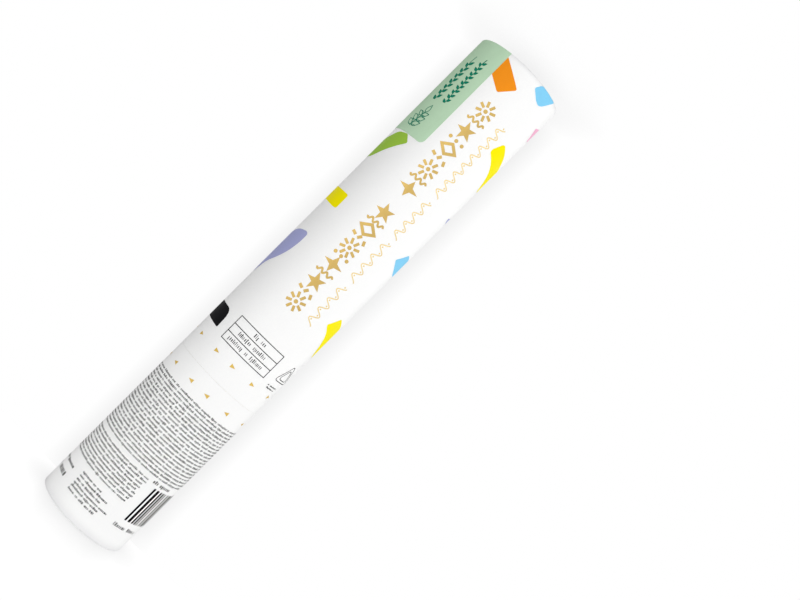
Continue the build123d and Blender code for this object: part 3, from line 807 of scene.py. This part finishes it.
# Widths of lines, vines as (middle, low, high, pitch, leaf), and a sprig's foot and leaves as (point, leaf)
STALK_LINE, LEAF_LINE, VEIN_LINE = 0.5, 0.42, 0.3
VINES = ((-24.6, 261, 289.5, 3.6, 3.5), (-17.4, 262, 290.5, 3.0, 2.8))
SPRIG_FOOT = (-24.0, 243.8)
SPRIG_LEAVES = ((1, 5.2), (4, 5.0), (7, 4.2))


def leaf(s, z, length, lean, half=0.27, skew=0.8, steps=10):
    """A pointed leaf from its stalk, leaning by an angle from straight up the tube."""
    way = Vector((sin(radians(lean)), cos(radians(lean))))
    side = Vector((way.y, -way.x))
    sweep = [(t / steps, half * sin(pi * (t / steps) ** skew)) for t in range(steps + 1)]
    edge = [way * length * t + side * length * w for t, w in sweep]
    edge += [way * length * t - side * length * w for t, w in sweep[-2:0:-1]]
    return [(s + p.x, z + p.y) for p in edge]


def vine(middle, low, high, pitch, length, lean=48, later=0.4, sway=0.35, bend=0.5, steps=40):
    """A swaying stalk between two heights, with leaves on both sides, one of each pair a little later."""
    rise = (high - low) / steps
    made = stroke([(middle + sway * sin(bend * k), low + rise * k) for k in range(steps + 1)], STALK_LINE)
    for k in range(int((high - low - length) / pitch) + 1):
        made.append(leaf(middle, low + k * pitch, length, -lean))
        made.append(leaf(middle, low + (k + later) * pitch, length, lean))
    return made


def sprig(s, z, rise=1.05, sway=2.5, bend=1 / 12, lean=62, vein=6, steps=9):
    """A bent stem with pairs of leaves in outline, their veins, and one more leaf at its tip."""
    stem = [(s + sway * sin(bend * k), z + rise * k) for k in range(steps + 1)]
    made = stroke(stem, STALK_LINE)
    for k, length in SPRIG_LEAVES:
        for side in (-1, 1):
            outline = leaf(*stem[k], length, side * lean)
            made += stroke(outline, LEAF_LINE, closed=True)
            made += stroke([outline[0], outline[vein]], VEIN_LINE)
    return made + stroke(leaf(*stem[-1], length=4.6, lean=8), LEAF_LINE, closed=True)


leaves = [outline for sizes in VINES for outline in vine(*sizes)] + sprig(*SPRIG_FOOT)
printing("sticker_leaves", leaves, leaf_paint, "barrel", STICKER_LIFT)


# Soft and wound pieces, each in the space of its solid

# Sizes of the lumps and grain on a soft disc, how fast they die away from its edge, and least sizes
LUMP_SIZE = 6.0
GRAIN_SIZE = 0.9
GRAIN_SHIFT = Vector((9, 4, 2))
EDGE_POWER = 6
LEAST_WALL = 0.01
WELD_DISTANCE = 1e-6


def ring_faces(rings, sides):
    """Four-sided faces that join rings of points, each to the next."""
    made = []
    for ring in range(rings - 1):
        for k in range(sides):
            a, b = ring * sides + k, ring * sides + (k + 1) % sides
            made.append((a, a + sides, b + sides, b))
    return made


def disc_outline(radius, thick, edge, rings=12, steps=6):
    """Half the section of a disc with a rounded edge, from the middle of its top to that of its foot."""
    inner, wall = radius - edge, thick - 2 * edge
    turns = [pi / 2 * k / steps for k in range(1, steps + 1)]
    made = [(inner * k / rings, thick) for k in range(rings + 1)]
    made += [(inner + edge * sin(turn), thick - edge + edge * cos(turn)) for turn in turns[:-1]]
    if wall > LEAST_WALL:
        made += [(radius, thick - edge - wall * k / 3) for k in (1, 2)]
    made += [(inner + edge * cos(turn), edge - edge * sin(turn)) for turn in turns]
    return made + [(inner * k / rings, 0.0) for k in range(rings - 1, -1, -1)]


def soft_disc(name, node, paint, body, lumps, grain, edge, spokes=96):
    """A disc with a rounded edge and an uneven face, in the space of a CAD node."""
    low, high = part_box(node)
    radius, thick = high.x / MM, (high.z - low.z) / MM
    outline = disc_outline(radius, thick, min(edge, thick / 2))
    points = []
    for reach, level in outline:
        for k in range(spokes):
            turn = 2 * pi * k / spokes
            here = Vector((reach * cos(turn), reach * sin(turn), level))
            lump, speck = noise.noise(here / LUMP_SIZE), noise.noise(here / GRAIN_SIZE + GRAIN_SHIFT)
            inset = abs(lumps * lump + grain * speck)
            level_in = level - inset if level > thick / 2 else level + inset
            reach_in = max(0.0, reach - inset * (reach / radius) ** EDGE_POWER)
            points.append(Vector((reach_in * cos(turn), reach_in * sin(turn), level_in + low.z / MM)) * MM)
    piece = mesh_piece(name, points, ring_faces(len(outline), spokes), paint, body)
    cleaned = bmesh.new()
    cleaned.from_mesh(piece.data)
    bmesh.ops.remove_doubles(cleaned, verts=cleaned.verts[:], dist=WELD_DISTANCE)
    bmesh.ops.recalc_face_normals(cleaned, faces=cleaned.faces[:])
    cleaned.to_mesh(piece.data)
    cleaned.free()
    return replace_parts(piece, node)


foam_paint = foam("cell_foam", screen(70, 70, 74))
pad = soft_disc("foam_pad", "bottle_pad", foam_paint, "handle", lumps=0.12, grain=0.05, edge=0.6)
felt_paint = felt("grey_felt", screen(178, 176, 171))
wad = soft_disc("felt_disc", "felt_wad", felt_paint, "charge", lumps=0.3, grain=0.12, edge=1.1)
cover_paint = paper("muzzle_paper", screen(246, 246, 244), (0.6, 0.75), 0.025)
cover_paint.bump(cover_paint.cells(7.0, "F2"), depth=0.12, strength=0.5)
cover = soft_disc("paper_cover", "muzzle_paper", cover_paint, "closure", lumps=0.06, grain=0.01, edge=0.1)


def wound_spring(wire=1.2, coils=5.0, closed=0.75, closed_pitch=1.05, sides=12, steps=360):
    """Drawn wire with closed ends, each a part of a turn, and open coils between them."""
    low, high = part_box("standoff_spring")
    reach = (high.x - low.x) / MM / 2 - wire / 2
    start, length = low.z / MM + wire / 2, (high.z - low.z) / MM - wire
    flat = closed * wire * closed_pitch
    points = []
    for step in range(steps + 1):
        at = coils * step / steps
        if at < closed:
            level = flat * at / closed
        elif at > coils - closed:
            level = length - flat * (coils - at) / closed
        else:
            level = flat + (length - 2 * flat) * (at - closed) / (coils - 2 * closed)
        out = Vector((cos(2 * pi * at), sin(2 * pi * at), 0))
        for k in range(sides):
            turn = 2 * pi * k / sides
            rise = Vector((0, 0, start + level + wire / 2 * sin(turn)))
            points.append((out * (reach + wire / 2 * cos(turn)) + rise) * MM)
    faces = ring_faces(steps + 1, sides)
    faces.append(tuple(range(sides)))
    faces.append(tuple(reversed(range(steps * sides, (steps + 1) * sides))))
    paint = metal("spring_wire", screen(188, 190, 196), (0.2, 0.36), stretch=(1, 1, 0.08), size=0.2)
    piece = mesh_piece("wire_spring", points, faces, paint, "handle")
    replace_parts(piece, "standoff_spring")
    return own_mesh(piece)


wound_spring()

# Tissue slips: their pitch, the room left round a pack, how far each strays, and how it waves
SLIP_PITCH = 0.85
PACK_SPARE = 0.35
SIDE_SPARE, END_SPARE = 1.7, 2.8
STRAY_ASIDE, STRAY_UP, STRAY_TURN = 0.55, 1.0, 0.5
SWAYS = (0.1, 0.22)
WAVES_UP, WAVES_ASIDE, ASIDE_SHARE = 9, 7, 0.6
FIRST_SLIP_SEED = 11


def slip_sheet(draw, frame_of, wide, tall, at, room, points, faces, thick=0.22, columns=4, rows=10):
    """Adds one slip of tissue: a thin, slightly waved sheet a little out of line with its neighbours."""
    slide, drop = draw.uniform(-STRAY_ASIDE, STRAY_ASIDE), draw.uniform(-STRAY_UP, STRAY_UP)
    turn = radians(draw.uniform(-STRAY_TURN, STRAY_TURN))
    phase, sway = draw.uniform(0, 2 * pi), room * draw.uniform(*SWAYS)
    first, across = len(points), columns + 1
    for face in (-thick / 2, thick / 2):
        for j in range(rows + 1):
            for i in range(across):
                a = (i / columns - 0.5) * (wide - SIDE_SPARE)
                b = (j / rows - 0.5) * (tall - END_SPARE)
                wave = sin(b / tall * WAVES_UP + phase) + ASIDE_SHARE * cos(a / wide * WAVES_ASIDE - phase)
                aside, up = a * cos(turn) - b * sin(turn) + slide, b * cos(turn) + a * sin(turn) + drop
                points.append(frame_of(at + face + sway * wave, aside, up))
    layer = (rows + 1) * across
    for j in range(rows):
        for i in range(columns):
            a = first + j * across + i
            quad = (a, a + 1, a + across + 1, a + across)
            faces.append(tuple(reversed(quad)))
            faces.append(tuple(v + layer for v in quad))
    rim = [first + i for i in range(across)]
    rim += [first + j * across + columns for j in range(1, rows + 1)]
    rim += [first + rows * across + i for i in range(columns - 1, -1, -1)]
    rim += [first + j * across for j in range(rows - 1, 0, -1)]
    for a, b in zip(rim, rim[1:] + rim[:1]):
        faces.append((a, b, b + layer, a + layer))


def slip_packs(colour, seed):
    """Fills the two packs of one colour with separate slips."""
    node = nodes[f"confetti_{colour}"]
    corners = [v.co / MM for v in node.data.vertices]
    middle = (min(c.z for c in corners) + max(c.z for c in corners)) / 2
    draw = Random(seed)
    points, faces = [], []
    for part in ([c for c in corners if c.z < middle], [c for c in corners if c.z > middle]):
        low, high = min(c.z for c in part), max(c.z for c in part)
        centre = sum(part, Vector()) / len(part)
        turn = atan2(centre.y, centre.x)
        out, side = Vector((cos(turn), sin(turn), 0)), Vector((-sin(turn), cos(turn), 0))
        near, far = min(c.dot(out) for c in part), max(c.dot(out) for c in part)
        wide = max(c.dot(side) for c in part) - min(c.dot(side) for c in part)
        base = Vector((0, 0, (low + high) / 2))

        def frame_of(away, aside, up):
            return (out * away + side * aside + base + Vector((0, 0, up))) * MM

        count = round((far - near) / SLIP_PITCH)
        room = (far - near) / count
        for k in range(count):
            at = near + PACK_SPARE + (far - near - 2 * PACK_SPARE) * (k + 0.5) / count
            slip_sheet(draw, frame_of, wide, high - low, at, room, points, faces)
    piece = mesh_piece(f"slips_{colour}", points, faces, tissue_paints[colour], "charge")
    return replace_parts(piece, f"confetti_{colour}")


for seed, colour in enumerate(TISSUES, FIRST_SLIP_SEED):
    slip_packs(colour, seed)


# Stage, in metres: a white floor with real and painted shade by the tube, a white sheet behind that only
# the camera sees with painted shadow round the tube, soft lamps and the camera

WHITE = (1, 1, 1, 1)
STAGE_REACH = 4
NEARNESS_SAMPLES = 16
SHEET_GAP = 0.0008


def emptied(owner):
    """Gives a material or world an empty tree of nodes."""
    owner.use_nodes = True
    owner.node_tree.nodes.clear()
    return owner.node_tree


def nearness(tree, reach):
    """How open a place is, from 0 to 1, counting only what is within reach."""
    inputs = {"Distance": reach}
    return add_node(tree, "ShaderNodeAmbientOcclusion", inputs, samples=NEARNESS_SAMPLES).outputs["AO"]


def finish_tree(tree, share, first, second, output="ShaderNodeOutputMaterial"):
    """Ends a tree with two shaders mixed by a share."""
    pick = add_node(tree, "ShaderNodeMixShader", {0: share, 1: first.outputs[0], 2: second.outputs[0]})
    add_node(tree, output, {"Surface": pick.outputs[0]})


def floor_paint(lit=(0.8, 0.13), own=0.945, shade_depths=(0.5, 0.33), reaches=(0.05, 0.018), inner=0.6,
                fade=(0.12, 0.45)):
    """White floor, lit and with its own white, with painted shade by the foot over the real shadow of its
    lit part, fading far off, clear under the tube.
    """
    # lit is for other rays and for the camera's, and the depths and reaches of the painted shade are by the
    # foot and aside
    made = bpy.data.materials.new("white_floor")
    tree = emptied(made)
    seen = add_node(tree, "ShaderNodeLightPath").outputs["Is Camera Ray"]
    place = add_node(tree, "ShaderNodeNewGeometry").outputs
    across = add_node(tree, "ShaderNodeSeparateXYZ", {0: place["Position"]}).outputs["X"]
    edge = math_node(tree, "ABSOLUTE", across), inner * RADIUS * MM, RADIUS * MM
    # Painted shade: the floor's own white is dimmed where the tube is near
    near = nearness(tree, ranged(tree, *edge, *reaches))
    darkest_shade = ranged(tree, *edge, *(own * (1 - depth) for depth in shade_depths))
    level = math_node(tree, "MULTIPLY", seen, ranged(tree, near, 0, 1, darkest_shade, own))
    glow = add_node(tree, "ShaderNodeEmission", {"Strength": level})
    white = add_node(tree, "ShaderNodeBsdfDiffuse", {"Color": ranged(tree, seen, 0, 1, *lit)})
    both = add_node(tree, "ShaderNodeAddShader", {0: white.outputs[0], 1: glow.outputs[0]})
    length = add_node(tree, "ShaderNodeVectorMath", {0: place["Position"]}, operation="LENGTH")
    away = length.outputs["Value"]
    faded = ranged(tree, away, *fade, 0, 1, interpolation_type="SMOOTHSTEP")
    far = math_node(tree, "MULTIPLY", faded, seen)
    under = math_node(tree, "LESS_THAN", away, BOARD * MM)
    opened = math_node(tree, "MAXIMUM", far, under)
    clear = add_node(tree, "ShaderNodeBsdfTransparent")
    finish_tree(tree, math_node(tree, "MAXIMUM", opened, place["Backfacing"]), both, clear)
    return made


def sheet_paint(shade_depths=(0.33, 0.85), reaches=(0.0195, 0.038), grade=0.014):
    """White sheet behind the tube, with painted shadow where the tube is near, and clear from its back."""
    # the depths and reaches of the painted shadow are beside the tube and above its muzzle
    made = bpy.data.materials.new("white_sheet")
    tree = emptied(made)
    place = add_node(tree, "ShaderNodeNewGeometry").outputs
    height = add_node(tree, "ShaderNodeSeparateXYZ", {0: place["Position"]}).outputs["Z"]
    edge = height, LENGTH * MM, LENGTH * MM + grade
    # Painted shadow: the sheet's white is dimmed where the tube is near
    near = nearness(tree, ranged(tree, *edge, *reaches))
    darkest_shade = ranged(tree, *edge, *(1 - depth for depth in shade_depths))
    glow = add_node(tree, "ShaderNodeEmission", {"Strength": ranged(tree, near, 0, 1, darkest_shade, 1)})
    finish_tree(tree, place["Backfacing"], glow, add_node(tree, "ShaderNodeBsdfTransparent"))
    return made


def plane(name, corners, paint):
    made = placed(name, mesh_of(name, corners, [(0, 1, 2, 3)], paint))
    return made


level = [(STAGE_REACH * a, STAGE_REACH * b, 0) for a, b in SQUARE]
ground = plane("floor", level, floor_paint())
ground.visible_shadow = False
behind = RADIUS * MM + SHEET_GAP
upright = [(STAGE_REACH * a, behind, STAGE_REACH * b) for a, b in SQUARE]
backdrop = plane("backdrop", upright, sheet_paint())
for way in ("diffuse", "glossy", "transmission", "shadow", "volume_scatter"):
    setattr(backdrop, f"visible_{way}", False)


def world_light(strength=0.415):
    """Even light all round, and plain white for the camera and in reflections."""
    world = bpy.data.worlds.new("studio")
    bpy.context.scene.world = world
    tree = emptied(world)
    rays = add_node(tree, "ShaderNodeLightPath").outputs
    seen = math_node(tree, "MAXIMUM", rays["Is Camera Ray"], rays["Is Glossy Ray"])
    seen = math_node(tree, "MAXIMUM", seen, rays["Is Transmission Ray"])
    even = add_node(tree, "ShaderNodeBackground", {"Color": WHITE, "Strength": strength})
    white = add_node(tree, "ShaderNodeBackground", {"Color": WHITE, "Strength": 1.0})
    finish_tree(tree, seen, even, white, "ShaderNodeOutputWorld")


def lamp(name, turn, height, power, distance=1.0, wide=0.7, tall=1.0, target=LENGTH * MM / 2):
    """A soft lamp that stands at an angle round the tube and looks at a height on it."""
    data = bpy.data.lights.new(name, "AREA")
    data.shape = "RECTANGLE"
    data.size, data.size_y = wide, tall
    data.energy = power
    made = placed(name, data)
    made.location = (distance * sin(radians(turn)), -distance * cos(radians(turn)), height)
    aim = Vector((0, 0, target)) - made.location
    made.rotation_euler = aim.to_track_quat("-Z", "Y").to_euler()
    made.visible_camera = False


world_light()
lamp("front_lamp", turn=-17, height=0.2, power=4.1)
lamp("key_lamp", turn=45, height=0.28, power=3.85)
lamp("side_lamp", turn=112, height=0.2, power=3.5)
lamp("foot_lamp", turn=-60, height=0.03, power=0.009, distance=0.11, wide=0.06, tall=0.06, target=0.01)

# The camera looks level along +Y, rolled by an eighth of a turn, its focal length in the frame's pixels
SENSOR_WIDTH = 36.0
FRAME_PIXELS = 800
FOCAL_PIXELS = 1175
CAMERA_SHIFT = 0.0875
CAMERA_PLACE = (0.011513, -0.572, 0.1585)
CAMERA_ROLL = radians(45)

view = bpy.data.cameras.new("camera")
view.sensor_width = SENSOR_WIDTH
view.lens = SENSOR_WIDTH * FOCAL_PIXELS / FRAME_PIXELS
view.shift_x = CAMERA_SHIFT
view.clip_start, view.clip_end = 0.01, 20.0
camera = placed("camera", view)
roll_cos, roll_sin = cos(CAMERA_ROLL), sin(CAMERA_ROLL)
axes = Matrix(((roll_cos, -roll_sin, 0), (0, 0, -1), (roll_sin, roll_cos, 0))).to_4x4()
camera.matrix_world = Matrix.Translation(CAMERA_PLACE) @ axes
bpy.context.scene.camera = camera
bpy.context.scene.view_settings.view_transform = "Standard"
